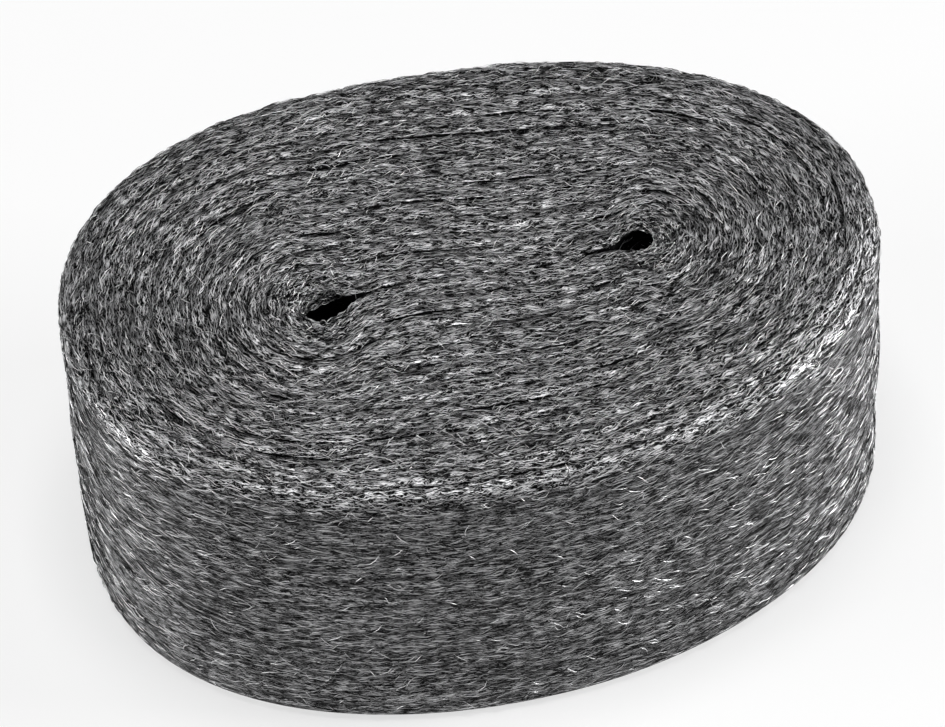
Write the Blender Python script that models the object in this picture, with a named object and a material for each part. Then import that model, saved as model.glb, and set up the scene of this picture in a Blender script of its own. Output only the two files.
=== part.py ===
"""A flat-wound roll of steel wool, standing on its edge.

One long ribbon of steel wool is wound round two thin pins, which are then drawn out. The pins leave
two eyes with a closed slit between them, and the ribbon's turns show on both faces of the roll. The
roll is one piece: a ribbon on edge, lofted along a flattened spiral. Seen from above, each turn is a
curve between the slit and the outline, and the ribbon climbs by its own thickness from one turn to
the next along the back of the roll. Both of its ends are thinned there, as torn wool is.

The origin is under the middle of the roll, on the surface that it stands on. +X runs from the left
eye to the right one, and +Z is up, along the ribbon's width.
"""

import math

import bmesh
import bpy
from mathutils import Vector

# The roll, in metres
LENGTH = 0.200
WIDTH = 0.134
RIBBON_WIDTH = 0.090  # the ribbon stands on edge, so this is the roll's height
TURNS = 13

# The outline, seen from above
OUTLINE_POWER = 2.2  # 2 is an ellipse, and more is squarer
EGG = 0.08  # how much narrower than the middle the right end is, and wider the left, as a share
LOBE = 0.015  # how far three gentle lobes swell the outline, as a share of its radius
LOBE_ANGLE = math.radians(40)  # where the first of them is

# The middle, where the winding pins were
LEFT_PIN = (-0.0370, -0.0035)
RIGHT_PIN = (0.0405, 0.0010)
EYE_RADIUS = 0.0055
LEFT_TAIL = 0.0110  # how far from its pin each eye has tapered down to the slit
RIGHT_TAIL = 0.0070
SLIT_WAVE = 0.0022  # how far the slit swings to each side of the line between the pins
END_BEND = 3.0  # how tightly the turns bend round the pins, with more for tighter

# The ribbon
LAYER_GAP = 0.0003  # between one turn and the next
CROWN = 0.0015  # how far the ribbon's upper edge rounds off towards its two faces
CROWN_REACH = 0.25  # how far in from each face it has levelled off, as a share of the thickness
EDGE_WANDER = 0.0008  # how far the upper edge dips at its lowest
WANDERS = ((3.3, 0.0), (1.2, 1.0))  # its waves: how many in one turn, and where they start

# The roll's own rounding, over the outermost turns
RIM_REACH = 0.0105  # how far in from the outline the upper face starts to fall
RIM_DROP = 0.0050  # and how far it has fallen at the outline
FOOT_REACH = 0.0040
FOOT_RISE = 0.0035

# The outermost turn's outer face, which the roll shows all round
WALL_ROWS = 5  # corners up it, between its lower and upper edges
BARREL = 0.0006  # how far it draws in towards those edges
HOLLOW = 0.0007  # how deep its soft hollows are, between the ridges that run along the ribbon
HOLLOW_WAVES = ((7.3, 1.3), (12.1, -0.9))  # how many of them there are round it, and up it

# The sections of the ribbon
STATIONS = 70  # in one turn
CLIMB = 20  # of them, those along which the ribbon climbs by one thickness
TORN = 6  # left off each end of the ribbon, where it would be thinner than it tears
CLIMB_MIDDLE = math.pi / 2  # the angle of the roll's back
WALL_START = (TURNS - 1) * STATIONS + CLIMB - TORN  # where the ribbon comes out from under its outer end

WOOL_COLOUR = (0.127, 0.127, 0.130, 1.0)
WOOL_METALLIC = 0.7
WOOL_ROUGHNESS = 0.6
SMOOTH_UNDER = math.radians(40)


def clear_scene():
    for item in list(bpy.data.objects):
        bpy.data.objects.remove(item)


def limited(value):
    return max(0.0, min(1.0, value))


def eased(share):
    """A share from 0 to 1 that starts and ends gently."""
    share = limited(share)
    return share * share * (3 - 2 * share)


def quarter_round(depth, reach, drop):
    """How far a rounded edge has dropped at this depth in from its outside."""
    outward = limited(1 - depth / reach)
    return drop * (1 - math.sqrt(1 - outward * outward))


def freehand_outline(angle):
    """The oval at this angle, before it is fitted to the roll's length and width."""
    along, across = math.cos(angle), math.sin(angle)
    squareness = abs(along * 2 / LENGTH) ** OUTLINE_POWER
    squareness += abs(across * 2 / WIDTH) ** OUTLINE_POWER
    radius = squareness ** (-1 / OUTLINE_POWER)
    radius *= 1 + LOBE * math.cos(3 * (angle - LOBE_ANGLE))
    x = radius * along
    return x, radius * across * (1 - EGG * x * 2 / LENGTH)


def fitted(values, extent):
    """The same values, centred on 0 and spread over this extent."""
    low, high = min(values), max(values)
    return [((value - low) / (high - low) - 0.5) * extent for value in values]


def outline():
    """The roll's outline seen from above, as one point for each section in a turn."""
    angles = [CLIMB_MIDDLE + (step - CLIMB / 2) * 2 * math.pi / STATIONS for step in range(STATIONS)]
    xs, ys = zip(*(freehand_outline(angle) for angle in angles))
    return [Vector(point) for point in zip(fitted(xs, LENGTH), fitted(ys, WIDTH))]


def slit_behind(rim_point):
    """The point of the slit from which the turns are counted out to this point of the outline.

    With it comes half the slit's opening there, which widens into the eyes at its two ends.
    """
    left, right = Vector(LEFT_PIN), Vector(RIGHT_PIN)
    between = right - left
    half = between.length / 2
    along = (rim_point - (left + right) / 2).dot(between.normalized()) / half
    share = 0.5 + 0.5 * along / (1 + abs(along) ** END_BEND) ** (1 / END_BEND)
    sideways = Vector((-between.y, between.x)).normalized()
    point = left + between * share + sideways * SLIT_WAVE * math.sin(2 * math.pi * share)

    left_widening = 1 - share * between.length / LEFT_TAIL
    right_widening = 1 - (1 - share) * between.length / RIGHT_TAIL
    closed = LAYER_GAP / 2
    return point, closed + (EYE_RADIUS - closed) * eased(max(left_widening, right_widening))


def level_at(station):
    """How many thicknesses of ribbon lie between the slit and the ribbon's inner face here.

    It starts at -1, where the ribbon has no thickness yet and its outer face is on the slit.
    """
    turn, step = divmod(station, STATIONS)
    return turn - 1 + eased(step / CLIMB)


def upper_edge(depth, station):
    """The height of the ribbon's upper edge here, this far in from the roll's outline."""
    turn = station / STATIONS
    wander = sum(math.sin(2 * math.pi * waves * turn + start) for waves, start in WANDERS)
    dip = EDGE_WANDER * (1 - wander / len(WANDERS)) / 2
    return RIBBON_WIDTH - dip - quarter_round(depth, RIM_REACH, RIM_DROP)


def wall_inset(share, station):
    """How far in from the outline the roll's outer face is here, at this share of the face's height.

    The hollows fade out before the ribbon's outer end, and start again on the turn below that end.
    """
    waves = [math.sin(2 * math.pi * (along * station / STATIONS + up * share)) for along, up in HOLLOW_WAVES]
    hollow = HOLLOW * math.sin(2 * math.pi * share) ** 2 * (1 + sum(waves) / len(waves)) / 2
    fade = eased((station - WALL_START) / CLIMB) * eased((WALL_START + STATIONS - station) / (CLIMB - TORN))
    return fade * (hollow + BARREL * (2 * share - 1) ** 2)


def ribbon_section(station, rim_point):
    """The corners of the ribbon's section at this station, in order round it."""
    slit_point, opening = slit_behind(rim_point)
    reach = (rim_point - slit_point).length
    outward = (rim_point - slit_point) / reach

    level = level_at(station)
    pitch = (reach - opening + LAYER_GAP) / TURNS
    inner = opening + max(level, 0) * pitch
    face = opening + min(level + 1, TURNS) * pitch - LAYER_GAP
    outer = face - wall_inset(0, station)

    sole = [(place, quarter_round(reach - place, FOOT_REACH, FOOT_RISE)) for place in (inner, outer)]
    top = []
    for share, rounding in ((1, CROWN), (1 - CROWN_REACH, 0), (CROWN_REACH, 0), (0, CROWN)):
        place = inner + (outer - inner) * share
        top.append((place, upper_edge(reach - place, station) - rounding))
    wall = []
    if station >= WALL_START:
        low, high = sole[1][1], top[0][1]
        for row in range(1, WALL_ROWS + 1):
            share = row / (WALL_ROWS + 1)
            wall.append((face - wall_inset(share, station), low + (high - low) * share))
    return [(*(slit_point + outward * place), height) for place, height in sole + wall + top]


def bridge(shape, near, far):
    """Joins one section to the next. Where the outer face's rows start, one face takes in their corners."""
    new_rows = len(far) - len(near)
    for i in range(len(near)):
        shift = new_rows if i >= 2 else 0
        starting = far[2:2 + new_rows] if i == 2 else []
        before = far[1] if i == 2 else far[i - 1 + shift]
        shape.faces.new((near[i - 1], near[i], far[i + shift], *reversed(starting), before))


def wound_ribbon():
    """The ribbon as one closed mesh: its sections in order, bridged one to the next and capped."""
    rim = outline()
    shape = bmesh.new()
    sections = [
        [shape.verts.new(corner) for corner in ribbon_section(station, rim[station % STATIONS])]
        for station in range(TORN, TURNS * STATIONS + CLIMB - TORN + 1)
    ]
    for near, far in zip(sections, sections[1:]):
        bridge(shape, near, far)
    shape.faces.new(sections[0])
    shape.faces.new(sections[-1])
    bmesh.ops.recalc_face_normals(shape, faces=shape.faces)
    mesh = bpy.data.meshes.new("steel_wool_roll")
    shape.to_mesh(mesh)
    shape.free()
    mesh.shade_smooth()
    mesh.set_sharp_from_angle(angle=SMOOTH_UNDER)
    return mesh


def wool_material():
    material = bpy.data.materials.new("steel_wool")
    material.use_nodes = True
    surface = material.node_tree.nodes["Principled BSDF"]
    surface.inputs["Base Color"].default_value = WOOL_COLOUR
    surface.inputs["Metallic"].default_value = WOOL_METALLIC
    surface.inputs["Roughness"].default_value = WOOL_ROUGHNESS
    return material


def main():
    clear_scene()
    roll = bpy.data.objects.new("steel_wool_roll", wound_ribbon())
    roll.data.materials.append(wool_material())
    pieces = bpy.data.collections.new("steel_wool_roll")
    bpy.context.scene.collection.children.link(pieces)
    pieces.objects.link(roll)


main()
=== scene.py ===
"""The looks of a flat-wound roll of steel wool: its packed turns, and the loose fibres that lie on them.

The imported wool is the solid's ribbon again, with softer edges, and its material draws fine crimped
strands. Loose fibres of bright, grey and dark steel lie on all its faces, along the ribbon.
"""

import math

import bpy
import numpy as np
from mathutils import Matrix, Vector


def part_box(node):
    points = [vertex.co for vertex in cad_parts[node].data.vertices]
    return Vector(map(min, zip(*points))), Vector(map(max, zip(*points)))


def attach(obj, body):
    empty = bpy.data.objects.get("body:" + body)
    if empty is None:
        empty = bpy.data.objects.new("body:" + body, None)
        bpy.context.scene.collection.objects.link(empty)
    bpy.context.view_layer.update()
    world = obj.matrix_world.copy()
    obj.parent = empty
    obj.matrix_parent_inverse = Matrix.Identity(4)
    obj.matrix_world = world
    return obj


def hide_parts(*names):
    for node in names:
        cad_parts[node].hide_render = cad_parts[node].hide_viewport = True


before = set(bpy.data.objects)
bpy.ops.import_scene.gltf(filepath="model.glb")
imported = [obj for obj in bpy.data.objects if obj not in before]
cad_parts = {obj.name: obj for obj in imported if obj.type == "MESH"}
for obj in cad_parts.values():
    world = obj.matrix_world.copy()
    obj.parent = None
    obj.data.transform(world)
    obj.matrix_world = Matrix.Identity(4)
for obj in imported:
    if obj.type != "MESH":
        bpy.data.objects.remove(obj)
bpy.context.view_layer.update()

ROLL_LOW, ROLL_HIGH = (np.array(corner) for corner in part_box("steel_wool_roll"))
LENGTH, WIDTH, HEIGHT = ROLL_HIGH - ROLL_LOW

# How the ribbon is wound, in metres, as in the solid that this dresses
TURNS = 13
OUTLINE_POWER = 2.2
EGG = 0.08
LOBE = 0.015
LOBE_ANGLE = math.radians(40)
LEFT_PIN = np.array((-0.0370, -0.0035))
RIGHT_PIN = np.array((0.0405, 0.0010))
EYE_RADIUS = 0.0055
LEFT_TAIL = 0.0110
RIGHT_TAIL = 0.0070
SLIT_WAVE = 0.0022
END_BEND = 3.0
LAYER_GAP = 0.0003
EDGE_WANDER = 0.0008
WANDERS = ((3.3, 0.0), (1.2, 1.0))
RIM_REACH, RIM_DROP = 0.0105, 0.0050
FOOT_REACH, FOOT_RISE = 0.0040, 0.0035
BARREL = 0.0006
HOLLOW = 0.0007
HOLLOW_WAVES = ((7.3, 1.3), (12.1, -0.9))
CLIMB = 20 / 70  # of a turn
TORN = 6 / 70
CLIMB_MIDDLE = math.pi / 2

# How soft wool differs from the solid's clean faces
CROWN = 0.0005  # how far a turn's upper edge rounds off at its two sides, where most
CROWN_POWER = 2.2
SOLE_CROWN = 0.0005
GROOVE_SIZE = (0.030, 9.0)  # the stretches in which a groove opens and closes, which reach across the turn
GROOVE_LEVEL, GROOVE_CONTRAST = 0.45, 0.5
TURN_GAP = 0.00008  # between the turns, which all but touch
PUFF = 0.00025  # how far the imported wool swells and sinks
TOP_LUMP_SIZE = (0.009, 0.004)
FACE_LUMP_SIZE = (0.030, 0.006)
TOP_TURN_LENGTH, FACE_TURN_LENGTH = 0.4, 0.5  # about how far one turn runs, to place the lumps along it

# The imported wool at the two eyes
EYE_ROUND = 0.0045  # how wide the innermost turn's edge is rounded off into them, at their far side
SIDE_ROUNDING, FAR_ROUNDING = 0.55, 0.8  # how much of it there is at an eye's ends, and how much more behind
RIGHT_EYE_ROUNDING = 0.35  # how much of the left eye's rounding the right one has
EYE_EDGE = 0.0070  # how far out from the eyes there are more loose fibres
EYE_EDGE_FADE = 1.4  # and where the last of them lie, as a share of that
EYE_WALL = 0.010  # how far down into the eyes loose fibres show
EYE_WALL_TOP = 0.6  # where they start below the upper face, as a share of the rounding

# The surfaces that carry the loose fibres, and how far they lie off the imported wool
COVER_SINK = 0.0002
FACE_LIFT = 0.0002
SOLE_LIFT = 0.0004
EYE_LIFT = 0.0001
RIM_ROWS = 0.1  # the share of the side's rows that lie over the rim
RIM_OVERLAP = 0.8  # how far over the rim they reach, as a share of the rim's own reach

# How finely the shapes are divided
STATIONS = 150  # sections of the ribbon in one turn
TOP_ROWS, SOLE_ROWS, WALL_ROWS = 9, 3, 12
CARRIER_COLUMNS = 360
CARRIER_TOP_POINTS = 7
COVER_ROWS, SIDE_ROWS, SOLE_CARRIER_ROWS, EYE_ROWS = 50, 42, 40, 20

# The smooth noise
NOISE_WAVES = 14
NOISE_PACES = (0.6, 1.4)  # the longest and the shortest of them, against the size asked for
NOISE_SPREAD = 0.6

# The loose fibres
FIBRE_SIZES = ("Fibres per square metre", "Length", "Radius", "Slant", "Bend", "Rise", "Bury", "Ripple")
FIBRES = {
    "top_fibres_a": (420000, 0.0048, 0.00008, 0.45, 0.8, 0.0005, 0.0001, 0.0003),
    "top_fibres_b": (420000, 0.0040, 0.00008, 1.00, 1.3, 0.0005, 0.0002, 0.0003),
    "side_fibres_a": (195000, 0.0050, 0.00008, 0.35, 0.6, 0.0004, 0.0001, 0.0003),
    "side_fibres_b": (195000, 0.0042, 0.00008, 1.00, 1.2, 0.0004, 0.0001, 0.0003),
    "sole_fibres": (80000, 0.0046, 0.00012, 0.40, 0.8, 0.0001, 0.0002, 0.0004),
    "eye_fibres": (1500000, 0.0034, 0.00010, 0.90, 1.4, 0.0008, 0.0001, 0.0003),
    "eye_edge_fibres": (4000000, 0.0032, 0.00010, 1.00, 1.6, 0.0009, 0.0001, 0.0003),
}
FIBRE_POINTS = 4  # along each fibre
FIBRE_SIDES = 3
SLIGHT_STRAY, FULL_STRAY = 0.3, 0.7  # most fibres stray a little from the ribbon's way, and a few stray far
LENGTH_RANGE = (0.55, 1.45)
RADIUS_RANGE = (0.6, 1.4)
RIPPLE_RANGE = (4.0, 9.0)  # how far the ripple turns from one end of a fibre to the other, in radians
ANY_PHASE = (0.0, 6.3)
TAPER = 0.75  # how much thinner a fibre's two ends are

# Steel: its colour and its roughness
DARK_STRAND = ((0.008, 0.008, 0.0083), 0.5)
GREY_STRAND = ((0.22, 0.22, 0.223), 0.45)
PALE_STRAND = ((0.86, 0.86, 0.87), 0.40)
# Near black inside the eyes and on the hidden faces: painted shade
SHADED_DEEP_WOOL = ((0.006, 0.006, 0.0062), 0.6)
PACKED_WOOL = ((0.1, 0.1, 0.1), 0.55)
# The outer face and the sole get fewer pale fibres than the upper face and the eyes: painted shade
LIT_MIX = (0.48, 0.12, 0.40)  # how many of the fibres are dark, grey and pale
SHADED_MIX = (0.58, 0.12, 0.30)

# The strands that the imported wool's material draws
# The outer face's strands are darker than those of the upper and lower edges: painted shade, as a lit and a
# shaded copy of one material
LIT_EDGE_BRIGHTNESS, SHADED_FACE_BRIGHTNESS = 0.76, 0.50
TINT = 1.015  # how much bluer than grey
# Near black between the strands: painted shade, for the depth between the packed fibres
SHADE_BETWEEN_STRANDS = (0.006, 0.006, 0.0062, 1.0)
STRAND_LAYERS = (  # how far each is turned from the ribbon's way, and its length, width, place and strength
    (60, 0.0014, 0.00025, 2.9, 0.25),
    (-35, 0.0024, 0.00025, 2.3, 0.4),
    (20, 0.0032, 0.00025, 1.13, 0.65),
    (-11, 0.0036, 0.00025, 0.71, 0.85),
    (3, 0.0042, 0.00025, 0.0, 1.0),
)
STRAND_LEVEL, STRAND_CONTRAST = 0.63, 20.0
CRIMP_SIZE, CRIMP_PLACE, CRIMP = (0.0013, 0.0008), 5.3, 0.0010
PATCH_SIZE, PATCH_PLACE = (0.026, 0.0026), 3.1
PATCH_LEVEL, PATCH_CONTRAST = 0.25, 2.4
STRAND_RELIEF, STRAND_RELIEF_SHARE = 0.0002, 0.4
TOP_SLOT, FACE_SLOT, DEEP_SLOT = 0, 1, 2  # its upper and lower edges, its outer face, and what it hides, which is near black as painted shade

# The camera, from the photograph
CAMERA_AZIMUTH = math.radians(-8.42)
CAMERA_ELEVATION = math.radians(52.09)
CAMERA_ROLL = math.radians(-3.16)
CAMERA_DISTANCE = 1.5774
CAMERA_LENS, CAMERA_SENSOR = 243.3, 36  # in millimetres
CAMERA_AIM = (-0.00161, 0.00799)  # how far the aim is to the right of the roll's middle, and above it
AIM_HEIGHT = 0.040

# The studio
WORLD_LIGHT = 0.1
LAMPS = (  # each one's name, place, size and power
    ("overhead", (0.0, -0.05, 2.2), 0.7, 28),
    ("from_the_right", (2.0, -0.30, 0.35), 0.8, 64),
    ("from_the_left", (-2.0, -0.05, 0.35), 0.8, 36),
)
LAMP_AIM = Vector((0, 0, 0.04))
FLOOR_REACH = 4.0
FLOOR_COLOUR, FLOOR_ROUGHNESS = (0.9, 0.9, 0.9), 0.9
FLOOR_GLOW = 0.6  # how much of the floor is plain white to the camera, and the rest shows the shadow


# Shape

def eased(share):
    """A share from 0 to 1 that starts and ends gently."""
    share = np.clip(share, 0, 1)
    return share * share * (3 - 2 * share)


def quarter_round(depth, reach, drop):
    """How far a rounded edge has dropped at this depth in from its outside."""
    outward = np.clip(1 - depth / reach, 0, 1)
    return drop * (1 - np.sqrt(1 - outward * outward))


def freehand_outline(angle):
    """The oval at these angles, before it is fitted to the roll's length and width."""
    along, across = np.cos(angle), np.sin(angle)
    squareness = np.abs(along * 2 / LENGTH) ** OUTLINE_POWER + np.abs(across * 2 / WIDTH) ** OUTLINE_POWER
    radius = squareness ** (-1 / OUTLINE_POWER) * (1 + LOBE * np.cos(3 * (angle - LOBE_ANGLE)))
    x = radius * along
    return np.stack([x, radius * across * (1 - EGG * x * 2 / LENGTH)], axis=-1)


ALL_ROUND = freehand_outline(np.linspace(0, 2 * math.pi, 721))
OUTLINE_LOW, OUTLINE_HIGH = ALL_ROUND.min(axis=0), ALL_ROUND.max(axis=0)


def outline(angle):
    """The roll's outline at these angles, seen from above."""
    share = (freehand_outline(angle) - OUTLINE_LOW) / (OUTLINE_HIGH - OUTLINE_LOW)
    return ROLL_LOW[:2] + share * (LENGTH, WIDTH)


def spokes(angle):
    """The lines that the turns are counted along at these angles, from the slit out to the outline.

    Each has its start at the slit's edge, its direction, its length, and half the slit's opening there.
    """
    rim = outline(angle)
    between = RIGHT_PIN - LEFT_PIN
    length = np.linalg.norm(between)
    along = (rim - (LEFT_PIN + RIGHT_PIN) / 2) @ (between / length) / (length / 2)
    share = 0.5 + 0.5 * along / (1 + np.abs(along) ** END_BEND) ** (1 / END_BEND)
    sideways = np.array((-between[1], between[0])) / length
    wave = SLIT_WAVE * np.sin(2 * math.pi * share)
    slit = LEFT_PIN + share[..., None] * between + wave[..., None] * sideways

    widening = np.maximum(1 - share * length / LEFT_TAIL, 1 - (1 - share) * length / RIGHT_TAIL)
    opening = LAYER_GAP / 2 + (EYE_RADIUS - LAYER_GAP / 2) * eased(widening)
    reach = np.linalg.norm(rim - slit, axis=-1)
    outward = (rim - slit) / reach[..., None]
    return slit + outward * opening[..., None], outward, reach - opening, opening


def edge_dip(turn):
    """How far the ribbon's upper edge has strayed down here, with the place given in turns."""
    wander = sum(np.sin(2 * math.pi * waves * turn + start) for waves, start in WANDERS)
    return EDGE_WANDER * (1 - wander / len(WANDERS)) / 2


def wall_inset(turn, share):
    """How far in from the outline the roll's outer face is here, at this share of the face's height."""
    waves = [np.sin(2 * math.pi * (along * turn + up * share)) for along, up in HOLLOW_WAVES]
    hollow = HOLLOW * np.sin(2 * math.pi * share) ** 2 * (1 + sum(waves) / len(waves)) / 2
    past = turn - (TURNS - 1) - CLIMB + TORN
    fade = eased(past / CLIMB) * eased((1 - past) / (CLIMB - TORN))
    return fade * (hollow + BARREL * (2 * share - 1) ** 2)


def outermost_turn(angle):
    """The ribbon's place, in turns, where it is the outermost at these angles."""
    step = np.mod((angle - CLIMB_MIDDLE) / (2 * math.pi) + CLIMB / 2, 1)
    return TURNS - 1 + step + (step < CLIMB - TORN)


def soft_noise(along, across, size, seed):
    """Smooth noise from about -1 to 1, with lumps of this length and width."""
    draw = np.random.default_rng(seed)
    total = 0
    for _ in range(NOISE_WAVES):
        turn, phase = draw.uniform(0, 2 * math.pi, 2)
        pace = draw.uniform(*NOISE_PACES)
        way = along / size[0] * math.cos(turn) + across / size[1] * math.sin(turn)
        total = total + np.sin(way * pace * 2 * math.pi + phase)
    return total * math.sqrt(2 / NOISE_WAVES) * NOISE_SPREAD


def ribbon_places():
    """The ribbon's sections, in order along it, each by its place in turns."""
    count = round((TURNS + CLIMB - 2 * TORN) * STATIONS)
    return np.linspace(TORN, TURNS + CLIMB - TORN, count + 1)


def ribbon_span(turn):
    """The ribbon's inner and outer faces at these places, with the spokes that they lie on.

    The last value says how much of an eye is there, from 0 at the closed slit to 1.
    """
    whole = np.floor(turn)
    step = turn - whole
    level = whole - 1 + eased(step / CLIMB)
    start, outward, depth, opening = spokes(CLIMB_MIDDLE + (step - CLIMB / 2) * 2 * math.pi)
    pitch = (depth + TURN_GAP) / TURNS
    inner = np.maximum(level, 0) * pitch
    outer = np.minimum(level + 1, TURNS) * pitch - TURN_GAP
    return start, outward, depth, inner, outer, eased(opening / EYE_RADIUS)


def on_spokes(start, outward, reach, height):
    """Points at this reach along the spokes and at this height."""
    flat = start[:, None, :] + outward[:, None, :] * reach[..., None]
    return np.concatenate([flat, np.broadcast_to(height, reach.shape)[..., None]], axis=-1)


def top_height(turn, start, reach, depth, share, outward, eye):
    """The height of a turn's upper edge, which rounds off towards its two sides and into the eyes."""
    along = turn[:, None] * TOP_TURN_LENGTH
    into_eye = eased(SIDE_ROUNDING + FAR_ROUNDING * outward[:, 1])
    into_eye = into_eye * np.where(start[:, 0] < 0, 1, RIGHT_EYE_ROUNDING)
    opened = eased(GROOVE_LEVEL + GROOVE_CONTRAST * soft_noise(along, share, GROOVE_SIZE, seed=8))
    crown = CROWN * opened * np.abs(2 * share - 1) ** CROWN_POWER
    lumps = soft_noise(along, reach, TOP_LUMP_SIZE, seed=3) * PUFF
    drop = quarter_round(depth[:, None] - reach, RIM_REACH, RIM_DROP)
    drop = drop + (eye * into_eye)[:, None] * quarter_round(reach, EYE_ROUND, EYE_ROUND)
    return HEIGHT - edge_dip(turn)[:, None] - crown - drop + lumps


def mesh_from_grid(name, points, close_rows=False, close_ends=False):
    """A mesh of quads over a grid of points, with its rows closed into a tube if asked, and capped."""
    rows, columns = points.shape[:2]
    index = np.arange(rows * columns).reshape(rows, columns)
    if close_rows:
        index = np.concatenate([index, index[:, :1]], axis=1)
    quads = np.stack([index[:-1, :-1], index[:-1, 1:], index[1:, 1:], index[1:, :-1]], axis=-1)
    faces = quads.reshape(-1, 4).tolist()
    if close_ends:
        faces += [index[0, :columns][::-1].tolist(), index[-1, :columns].tolist()]
    mesh = bpy.data.meshes.new(name)
    mesh.from_pydata(points.reshape(-1, 3).tolist(), [], faces)
    mesh.shade_smooth()
    return mesh


def store(mesh, name, kind, values):
    """Keeps a value for each point of a mesh."""
    attribute = mesh.attributes.new(name, kind, "POINT")
    key = "vector" if kind == "FLOAT_VECTOR" else "value"
    attribute.data.foreach_set(key, np.asarray(values, dtype=np.float32).ravel())


def directions(points):
    """The unit direction along each column of a grid of points."""
    step = np.gradient(points, axis=0)
    return step / np.linalg.norm(step, axis=-1, keepdims=True)


def lay_map(mesh, points):
    """Gives the ribbon its UV map, in metres along the ribbon and round its section."""
    middle = points[:, TOP_ROWS // 2]
    along = np.concatenate([[0], np.cumsum(np.linalg.norm(np.diff(middle, axis=0), axis=1))])
    steps = np.linalg.norm(np.diff(points, axis=1, prepend=points[:, :1]), axis=-1)
    across = np.cumsum(steps, axis=1)
    corners = np.zeros(len(mesh.loops), dtype=np.int64)
    mesh.loops.foreach_get("vertex_index", corners)
    uv = np.stack([along[corners // points.shape[1]], across.ravel()[corners]], axis=-1)
    layer = mesh.uv_layers.new(name="lay")
    layer.data.foreach_set("uv", uv.astype(np.float32).ravel())


def give_slots(mesh, turn, columns):
    """Gives each of the ribbon's faces its material. The hidden faces, the inner walls that show in the
    eyes, and the two ends get the near-black one, which is painted shade.
    """
    column = np.arange(columns)[None, :]
    wall = (column >= TOP_ROWS) & (column < TOP_ROWS + WALL_ROWS)
    outermost = turn[:-1, None] >= TURNS - 1
    slot = np.where(wall, np.where(outermost, FACE_SLOT, DEEP_SLOT), TOP_SLOT)
    slot = np.where(column == columns - 1, DEEP_SLOT, slot)
    slots = np.append(slot.ravel(), (DEEP_SLOT, DEEP_SLOT)).astype(np.int32)
    mesh.polygons.foreach_set("material_index", slots)


def packed_turns():
    """The ribbon with soft edges, as one closed mesh."""
    turn = ribbon_places()
    start, outward, depth, inner, outer, eye = ribbon_span(turn)
    face = outer[:, None]
    outer = outer - wall_inset(turn, 0)
    thickness = outer - inner

    top_share = np.linspace(0, 1, TOP_ROWS + 1)[None, :]
    top_reach = inner[:, None] + thickness[:, None] * top_share
    top = top_height(turn, start, top_reach, depth, top_share, outward, eye)

    sole_share = np.linspace(1, 0, SOLE_ROWS + 1)[None, :]
    sole_reach = inner[:, None] + thickness[:, None] * sole_share
    sole = quarter_round(depth[:, None] - sole_reach, FOOT_REACH, FOOT_RISE)
    sole = sole + SOLE_CROWN * np.abs(2 * sole_share - 1) ** CROWN_POWER

    wall_share = np.linspace(1, 0, WALL_ROWS + 1)[None, 1:-1]
    wall = sole[:, :1] + (top[:, -1:] - sole[:, :1]) * wall_share
    last_turn = eased((turn - (TURNS - 1)) / CLIMB)[:, None]
    swell = soft_noise(turn[:, None] * FACE_TURN_LENGTH, wall, FACE_LUMP_SIZE, seed=5) * PUFF * last_turn
    wall_reach = face - wall_inset(turn[:, None], wall_share) + swell

    reach = np.concatenate([top_reach, wall_reach, sole_reach], axis=1)
    height = np.concatenate([top, wall, sole], axis=1)
    points = on_spokes(start, outward, reach, height)
    mesh = mesh_from_grid("steel_wool_body", points, close_rows=True, close_ends=True)
    lay_map(mesh, points)
    give_slots(mesh, turn, points.shape[1])
    return mesh


# Surfaces on which the loose fibres are laid, which aren't shown themselves

def carrier(name, points, amount):
    """A surface with the way that the wool runs over it, and with how many fibres lie there."""
    mesh = mesh_from_grid(name, points)
    store(mesh, "lay", "FLOAT_VECTOR", directions(points))
    store(mesh, "amount", "FLOAT", np.broadcast_to(amount, points.shape[:2]))
    return mesh


def turn_tops(name, near_eyes=False):
    """The upper edges of the turns, one beside the other, or those round the eyes alone."""
    turn = ribbon_places()[::2]
    start, outward, depth, inner, outer, eye = ribbon_span(turn)
    share = np.linspace(0, 1, CARRIER_TOP_POINTS)[None, :]
    reach = inner[:, None] + (outer - inner)[:, None] * share
    points = on_spokes(start, outward, reach, top_height(turn, start, reach, depth, share, outward, eye))
    amount = eye[:, None] * eased(EYE_EDGE_FADE - reach / EYE_EDGE) if near_eyes else 1.0
    return carrier(name, points, amount)


def wrap(name, rows, reach_from, height_from, amount_from=None):
    """A surface round the roll, with rows that run all round it. Each row's reach and height are given."""
    angle = np.linspace(0, 2 * math.pi, CARRIER_COLUMNS + 1)
    start, outward, depth, opening = spokes(angle)
    share = np.linspace(0, 1, rows)[None, :]
    reach = np.broadcast_to(reach_from(share, depth[:, None], angle[:, None]), (len(angle), rows))
    height = height_from(share, depth[:, None] - reach)
    amount = amount_from(share, opening[:, None]) if amount_from else 1.0
    return carrier(name, on_spokes(start, outward, reach, height), amount)


def top_cover():
    """The whole upper face, over the grooves between the turns."""
    level = HEIGHT - EDGE_WANDER / 2 - COVER_SINK
    return wrap(
        "top_cover",
        COVER_ROWS,
        lambda share, depth, angle: depth * share,
        lambda share, inset: level - quarter_round(inset, RIM_REACH, RIM_DROP),
    )


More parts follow.
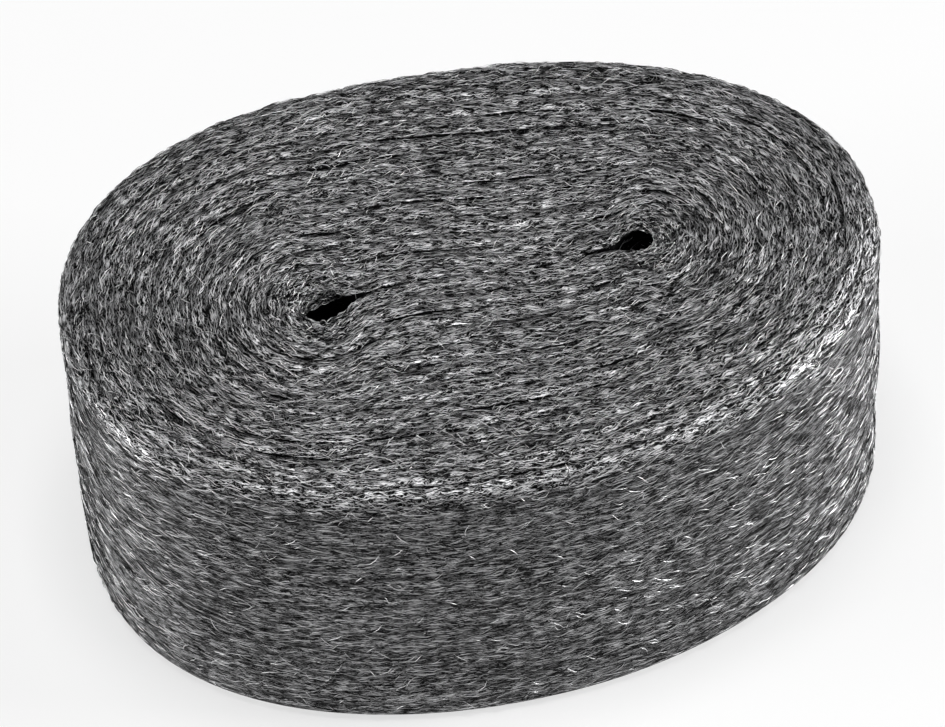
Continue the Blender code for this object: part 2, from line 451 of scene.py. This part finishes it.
def side_wall():
    """The outermost turn's outer face down to the foot, with the rim above it."""
    def reach(share, depth, angle):
        over_rim = np.where(share < RIM_ROWS, (RIM_ROWS - share) / RIM_ROWS * RIM_REACH * RIM_OVERLAP, 0)
        up_face = 1 - np.clip((share - RIM_ROWS) / (1 - RIM_ROWS), 0, 1)
        return depth - over_rim - wall_inset(outermost_turn(angle), up_face) + FACE_LIFT

    def height(share, inset):
        top = HEIGHT - EDGE_WANDER - quarter_round(inset, RIM_REACH, RIM_DROP)
        fall = np.clip((share - RIM_ROWS) / (1 - RIM_ROWS), 0, 1)
        return top - fall * (top - FOOT_RISE)

    return wrap("side_wall", SIDE_ROWS, reach, height)


def sole():
    """The lower face."""
    return wrap(
        "sole",
        SOLE_CARRIER_ROWS,
        lambda share, depth, angle: depth * (1 - share),
        lambda share, inset: SOLE_LIFT + quarter_round(inset, FOOT_REACH, FOOT_RISE),
    )


def eye_walls():
    """The innermost turn's inner face, where the two eyes have opened it."""
    return wrap(
        "eye_walls",
        EYE_ROWS,
        lambda share, depth, angle: depth * 0 + EYE_LIFT,
        lambda share, inset: HEIGHT - EYE_ROUND * EYE_WALL_TOP - share * EYE_WALL,
        lambda share, opening: eased(opening / EYE_RADIUS * 2 - 0.5) * (1 - share),
    )


# Node trees

class Socket:
    """A node's output, on which Python's operators add the Math nodes that they stand for."""

    def __init__(self, tree, output):
        self.tree = tree
        self.output = output

    def worked(self, operation, *operands):
        """Adds one Math node, or a Vector Math node where a vector goes in."""
        kinds = {item.output.type for item in operands if isinstance(item, Socket)}
        vector = bool(kinds & {"VECTOR", "RGBA"})
        kind = "ShaderNodeVectorMath" if vector else "ShaderNodeMath"
        node = self.tree.add(kind, {"operation": operation})
        for socket, operand in zip(node.inputs, operands):
            self.tree.put(socket, operand)
        return Socket(self.tree, node.outputs[0])

    def __add__(self, other):
        return self.worked("ADD", self, other)

    def __radd__(self, other):
        return self.worked("ADD", other, self)

    def __sub__(self, other):
        return self.worked("SUBTRACT", self, other)

    def __rsub__(self, other):
        return self.worked("SUBTRACT", other, self)

    def __mul__(self, other):
        return self.worked("MULTIPLY", self, other)

    def __rmul__(self, other):
        return self.worked("MULTIPLY", other, self)

    def __truediv__(self, other):
        return self.worked("DIVIDE", self, other)

    def __pow__(self, other):
        return self.worked("POWER", self, other)

    def __gt__(self, other):
        return self.worked("GREATER_THAN", self, other)

    def sine(self):
        return self.worked("SINE", self)

    def at_least(self, other):
        return self.worked("MAXIMUM", self, other)

    def at_most(self, other):
        return self.worked("MINIMUM", self, other)

    def cross(self, other):
        return self.worked("CROSS_PRODUCT", self, other)

    def scaled(self, amount):
        """This vector, times a number."""
        return self.tree.out("ShaderNodeVectorMath", {"operation": "SCALE"}, Vector=self, Scale=amount)


class Tree:
    """A node tree that is being built."""

    def __init__(self, tree):
        self.tree = tree

    def put(self, socket, value):
        """Links a socket to another node's output, or sets its value."""
        if isinstance(value, Socket):
            self.tree.links.new(value.output, socket)
        elif isinstance(value, bpy.types.NodeSocket):
            self.tree.links.new(value, socket)
        else:
            socket.default_value = value

    def add(self, kind, settings=None, **sockets):
        """Adds a node: its settings come first, and then the values or links of its sockets."""
        node = self.tree.nodes.new(kind)
        for name, value in (settings or {}).items():
            setattr(node, name, value)
        for name, value in sockets.items():
            wanted = name.replace("_", " ")
            self.put(next(s for s in node.inputs if s.enabled and s.name == wanted), value)
        return node

    def out(self, kind, settings=None, pick=None, **sockets):
        """Adds a node and returns its output of this name, or its first."""
        node = self.add(kind, settings, **sockets)
        outputs = [s for s in node.outputs if s.enabled and pick in (None, s.name)]
        return Socket(self, outputs[0])


class FibreTree(Tree):
    """The tree that lays the loose fibres, with what its steps share."""

    def __init__(self):
        super().__init__(bpy.data.node_groups.new("loose_fibres", "GeometryNodeTree"))
        sockets = self.tree.interface
        sockets.new_socket("Geometry", in_out="OUTPUT", socket_type="NodeSocketGeometry")
        sockets.new_socket("Geometry", in_out="INPUT", socket_type="NodeSocketGeometry")
        for name in FIBRE_SIZES:
            sockets.new_socket(name, in_out="INPUT", socket_type="NodeSocketFloat")
        sockets.new_socket("Seed", in_out="INPUT", socket_type="NodeSocketInt")
        start = self.add("NodeGroupInput")
        self.given = {socket.name: Socket(self, socket) for socket in start.outputs if socket.name}

    def stored(self, name, kind="FLOAT"):
        """A value that is kept for each point."""
        return self.out("GeometryNodeInputNamedAttribute", {"data_type": kind}, Name=name)

    def sampled(self, value, place=None):
        """A vector of the surface, read at its point that is nearest to this place."""
        sockets = {"Sample_Position": place} if place else {}
        kind = {"data_type": "FLOAT_VECTOR"}
        return self.out(
            "GeometryNodeSampleNearestSurface", kind, Mesh=self.given["Geometry"], Value=value, **sockets
        )

    def chance(self, low, high, salt):
        """A random number for each fibre. Each salt gives another one."""
        fibre = self.stored("fibre", "INT")
        seed = self.given["Seed"] + salt
        return self.out("FunctionNodeRandomValue", Min=low, Max=high, ID=fibre, Seed=seed)

    def moved(self, strands, **sockets):
        """The strands, with their points moved."""
        return self.out("GeometryNodeSetPosition", Geometry=strands, **sockets)

    def seeded(self):
        """Fibres that have all their points in one place, scattered over the surface."""
        given = self.given
        density = given["Fibres per square metre"] * self.stored("amount")
        surface, seed = given["Geometry"], given["Seed"]
        seeds = self.out("GeometryNodeDistributePointsOnFaces", Mesh=surface, Density=density, Seed=seed)
        index = self.out("GeometryNodeInputIndex")
        kind = {"data_type": "INT", "domain": "POINT"}
        seeds = self.out("GeometryNodeStoreNamedAttribute", kind, Geometry=seeds, Name="fibre", Value=index)
        copies = self.add(
            "GeometryNodeDuplicateElements", {"domain": "POINT"}, Geometry=seeds, Amount=FIBRE_POINTS
        )
        strands = self.out(
            "GeometryNodePointsToCurves",
            Points=copies.outputs["Geometry"],
            Curve_Group_ID=self.stored("fibre", "INT"),
            Weight=copies.outputs["Duplicate Index"],
        )
        return self.out("GeometryNodeCurveSplineType", {"spline_type": "POLY"}, Curve=strands)

    def walked(self, strands):
        """The fibres, drawn out over the surface along the way that the wool runs.

        A fibre's points walk step by step, and one of them stays behind at each step, so the fibre
        follows every bend of the turn that it lies on.
        """
        given = self.given
        place = self.out("GeometryNodeInputPosition")
        normal = self.out("GeometryNodeInputNormal")
        number = self.out("GeometryNodeCurveOfPoint", pick="Index in Curve")
        stray = self.chance(-1.0, 1.0, 1)
        slant = given["Slant"] * stray * (SLIGHT_STRAY + FULL_STRAY * stray * stray)
        bend = given["Bend"] * self.chance(-1.0, 1.0, 2)
        length = given["Length"] * self.chance(*LENGTH_RANGE, 3)
        way = (self.chance(-1.0, 1.0, 4) > 0.0) * 2.0 - 1.0
        steps = FIBRE_POINTS - 1
        for step in range(steps):
            lay = self.sampled(self.stored("lay", "FLOAT_VECTOR"))
            turn = slant + bend * (step / steps)
            heading = self.out("ShaderNodeVectorRotate", Vector=lay, Axis=self.sampled(normal), Angle=turn)
            ahead = place + heading.scaled(length * way / steps)
            strands = self.moved(strands, Selection=number > step + 0.5, Position=self.sampled(place, ahead))
        return strands

    def ruffled(self, strands, share):
        """The fibres, with their middles off the surface, their ends in it, and a ripple to the side."""
        given = self.given
        lay = self.sampled(self.stored("lay", "FLOAT_VECTOR"))
        out = self.sampled(self.out("GeometryNodeInputNormal"))
        arch = 4.0 * share * (1.0 - share)
        high = self.chance(0.0, 1.0, 5)
        rise = given["Rise"] * high * high * arch - given["Bury"] * self.chance(0.0, 1.0, 6) * (1.0 - arch)
        phase = share * self.chance(*RIPPLE_RANGE, 8) + self.chance(*ANY_PHASE, 9)
        ripple = given["Ripple"] * self.chance(-1.0, 1.0, 7) * phase.sine()
        return self.moved(strands, Offset=out.scaled(rise) + lay.cross(out).scaled(ripple))

    def wired(self, strands, share):
        """The fibres as thin closed wires that taper towards their ends."""
        taper = 1.0 - TAPER * (2.0 * share - 1.0) ** 4.0
        radius = self.given["Radius"] * self.chance(*RADIUS_RANGE, 10) * taper
        profile = self.out(
            "GeometryNodeCurvePrimitiveCircle", {"mode": "RADIUS"}, Resolution=FIBRE_SIDES, Radius=1.0
        )
        wire = self.out(
            "GeometryNodeCurveToMesh", Curve=strands, Profile_Curve=profile, Scale=radius, Fill_Caps=True
        )
        return self.out("GeometryNodeRealizeInstances", Geometry=wire)


def fibre_tree(tones):
    """A tree that lays fibres on a surface. The tones are materials, with the share of fibres of each."""
    tree = FibreTree()
    share = tree.out("GeometryNodeSplineParameter", pick="Factor")
    wire = tree.wired(tree.ruffled(tree.walked(tree.seeded()), share), share)
    tone_draw = tree.chance(0.0, 1.0, 11)
    used = 0.0
    for material, portion in tones:
        chosen = tone_draw > used
        wire = tree.out("GeometryNodeSetMaterial", Geometry=wire, Selection=chosen, Material=material)
        used += portion
    wire = tree.out("GeometryNodeRemoveAttribute", Geometry=wire, Name="fibre")
    tree.put(tree.add("NodeGroupOutput").inputs[0], wire)
    return tree.tree


def lay_fibres(name, surface, tree, seed):
    """Lays one kind of fibre on a surface and returns it as a plain mesh object."""
    holder = bpy.data.objects.new(name + "_surface", surface)
    bpy.context.scene.collection.objects.link(holder)
    modifier = holder.modifiers.new("fibres", "NODES")
    modifier.node_group = tree
    inputs = [item for item in tree.interface.items_tree if item.in_out == "INPUT"]
    identifiers = {item.name: item.identifier for item in inputs}
    for size, value in zip(FIBRE_SIZES, FIBRES[name]):
        modifier[identifiers[size]] = float(value)
    modifier[identifiers["Seed"]] = seed
    depsgraph = bpy.context.evaluated_depsgraph_get()
    mesh = bpy.data.meshes.new_from_object(holder.evaluated_get(depsgraph))
    mesh.name = name
    mesh.shade_smooth()
    bpy.data.objects.remove(holder)
    piece = bpy.data.objects.new(name, mesh)
    bpy.context.scene.collection.objects.link(piece)
    return piece


# Materials

def plain_material(name, colour, metallic, roughness):
    material = bpy.data.materials.new(name)
    material.use_nodes = True
    surface = material.node_tree.nodes["Principled BSDF"]
    surface.inputs["Base Color"].default_value = (*colour, 1.0)
    surface.inputs["Metallic"].default_value = metallic
    surface.inputs["Roughness"].default_value = roughness
    return material


def steel(name, colour, roughness):
    return plain_material(name, colour, 1.0, roughness)


def packed_wool(name, brightness):
    """The wool under the loose fibres: fine crimped strands along the ribbon, with painted shade between
    them, near black.
    """
    material = steel(name, *PACKED_WOOL)
    tree = Tree(material.node_tree)
    surface = material.node_tree.nodes["Principled BSDF"]
    lay = tree.out("ShaderNodeUVMap", {"uv_map": "lay"})

    def noise(place, turn, length, width, shift, detail=0.0, pick="Fac"):
        """Noise whose grains are this long and wide, and turned from the ribbon's way by these degrees."""
        placed = tree.out(
            "ShaderNodeMapping",
            {"vector_type": "TEXTURE"},
            Vector=place,
            Location=(shift, shift, 0.0),
            Rotation=(0.0, 0.0, math.radians(turn)),
            Scale=(length, width, 1.0),
        )
        return tree.out(
            "ShaderNodeTexNoise", pick=pick, Vector=placed, Scale=1.0, Detail=detail, Roughness=0.5
        )

    crimp = noise(lay, 0, *CRIMP_SIZE, CRIMP_PLACE, 1.0, "Color") - (0.5, 0.5, 0.5)
    crimped = lay + crimp.scaled(CRIMP)
    strands = 0.0
    for turn, length, width, shift, gain in STRAND_LAYERS:
        strand = (noise(crimped, turn, length, width, shift) - STRAND_LEVEL) * STRAND_CONTRAST
        strand = strand.at_least(0.0).at_most(1.0)
        strands = strand * gain + strands * (1.0 - strand)
    patches = noise(lay, 0, *PATCH_SIZE, PATCH_PLACE, 2.0) * PATCH_CONTRAST - PATCH_LEVEL
    shown = tree.out("ShaderNodeClamp", Value=strands * patches)
    colour = tree.add("ShaderNodeMix", {"data_type": "RGBA"})
    tree.put(colour.inputs[0], shown)
    # Painted shade between the strands
    tree.put(colour.inputs[6], SHADE_BETWEEN_STRANDS)
    tree.put(colour.inputs[7], (brightness, brightness, brightness * TINT, 1.0))
    tree.put(surface.inputs["Base Color"], colour.outputs[2])
    bump = tree.out("ShaderNodeBump", Strength=STRAND_RELIEF_SHARE, Distance=STRAND_RELIEF, Height=strands)
    tree.put(surface.inputs["Normal"], bump)
    return material


# Stage

def seen_straight(tree):
    """1 where the camera or a reflection sees the surface, and 0 where it only gives light to others."""
    path = tree.add("ShaderNodeLightPath")
    seen = Socket(tree, path.outputs["Is Camera Ray"])
    for name in ("Is Glossy Ray", "Is Transmission Ray"):
        seen = seen.at_least(Socket(tree, path.outputs[name]))
    return seen


def build_world():
    world = bpy.data.worlds.new("studio")
    world.use_nodes = True
    bpy.context.scene.world = world
    background = world.node_tree.nodes["Background"]
    background.inputs["Color"].default_value = (1.0, 1.0, 1.0, 1.0)
    background.inputs["Strength"].default_value = WORLD_LIGHT


def build_floor():
    """A pale floor that keeps the roll's shadow and is nearly white to the camera."""
    corners = [[(x, y, 0.0) for x in (-FLOOR_REACH, FLOOR_REACH)] for y in (-FLOOR_REACH, FLOOR_REACH)]
    floor = bpy.data.objects.new("floor", mesh_from_grid("floor", np.array(corners)))
    bpy.context.scene.collection.objects.link(floor)
    material = plain_material("pale_floor", FLOOR_COLOUR, 0.0, FLOOR_ROUGHNESS)
    tree = Tree(material.node_tree)
    plain = material.node_tree.nodes["Principled BSDF"]
    white = tree.out("ShaderNodeEmission", Color=(1.0, 1.0, 1.0, 1.0), Strength=1.0)
    mixed = tree.add("ShaderNodeMixShader")
    tree.put(mixed.inputs[0], seen_straight(tree) * FLOOR_GLOW)
    tree.put(mixed.inputs[1], plain.outputs[0])
    tree.put(mixed.inputs[2], white)
    tree.put(material.node_tree.nodes["Material Output"].inputs[0], mixed.outputs[0])
    floor.data.materials.append(material)


def softbox(name, place, size, power):
    light = bpy.data.lights.new(name, "AREA")
    light.shape = "SQUARE"
    light.size = size
    light.energy = power
    lamp = bpy.data.objects.new(name, light)
    lamp.location = place
    lamp.rotation_euler = (LAMP_AIM - Vector(place)).to_track_quat("-Z", "Y").to_euler()
    bpy.context.scene.collection.objects.link(lamp)


def build_camera():
    flat = math.cos(CAMERA_ELEVATION)
    across, along = math.cos(CAMERA_AZIMUTH), math.sin(CAMERA_AZIMUTH)
    back = Vector((along * flat, -across * flat, math.sin(CAMERA_ELEVATION)))
    level_right = Vector((across, along, 0))
    level_up = back.cross(level_right)
    right = level_right * math.cos(CAMERA_ROLL) + level_up * math.sin(CAMERA_ROLL)
    up = level_up * math.cos(CAMERA_ROLL) - level_right * math.sin(CAMERA_ROLL)
    aim = Vector((0, 0, AIM_HEIGHT)) + right * CAMERA_AIM[0] + up * CAMERA_AIM[1]
    camera = bpy.data.objects.new("camera", bpy.data.cameras.new("camera"))
    camera.data.lens = CAMERA_LENS
    camera.data.sensor_width = CAMERA_SENSOR
    turned = Matrix((right, up, back)).transposed().to_4x4()
    camera.matrix_world = Matrix.Translation(aim + back * CAMERA_DISTANCE) @ turned
    bpy.context.scene.collection.objects.link(camera)
    bpy.context.scene.camera = camera


# The roll

def dress(piece):
    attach(piece, "root")


def build_body():
    """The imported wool, which stands for the solid."""
    body = bpy.data.objects.new("steel_wool_body", packed_turns())
    bpy.context.scene.collection.objects.link(body)
    # packed_face is the darker, shaded copy of packed_edges: painted shade on the outer face
    body.data.materials.append(packed_wool("packed_edges", LIT_EDGE_BRIGHTNESS))
    body.data.materials.append(packed_wool("packed_face", SHADED_FACE_BRIGHTNESS))
    body.data.materials.append(steel("shaded_deep_wool", *SHADED_DEEP_WOOL))
    dress(body)
    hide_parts("steel_wool_roll")


def build_fibres():
    """The loose fibres on every face of the roll, with each piece's seed last."""
    strands = (
        steel("dark_strand", *DARK_STRAND),
        steel("grey_strand", *GREY_STRAND),
        steel("pale_strand", *PALE_STRAND),
    )
    # Fewer pale fibres on the outer face and the sole are painted shade
    bright = fibre_tree(zip(strands, LIT_MIX))
    shaded_fibre_tree = fibre_tree(zip(strands, SHADED_MIX))
    plans = (
        ("top_fibres_a", turn_tops("turn_tops"), bright, 1),
        ("top_fibres_b", top_cover(), bright, 2),
        ("side_fibres_a", side_wall(), shaded_fibre_tree, 3),
        ("side_fibres_b", side_wall(), shaded_fibre_tree, 4),
        ("sole_fibres", sole(), shaded_fibre_tree, 6),
        ("eye_fibres", eye_walls(), bright, 7),
        ("eye_edge_fibres", turn_tops("eye_edges", near_eyes=True), bright, 8),
    )
    for name, surface, tree, seed in plans:
        dress(lay_fibres(name, surface, tree, seed))


bpy.context.scene.view_settings.view_transform = "Standard"
build_camera()
build_world()
build_floor()
for name, place, size, power in LAMPS:
    softbox(name, place, size, power)
build_body()
build_fibres()
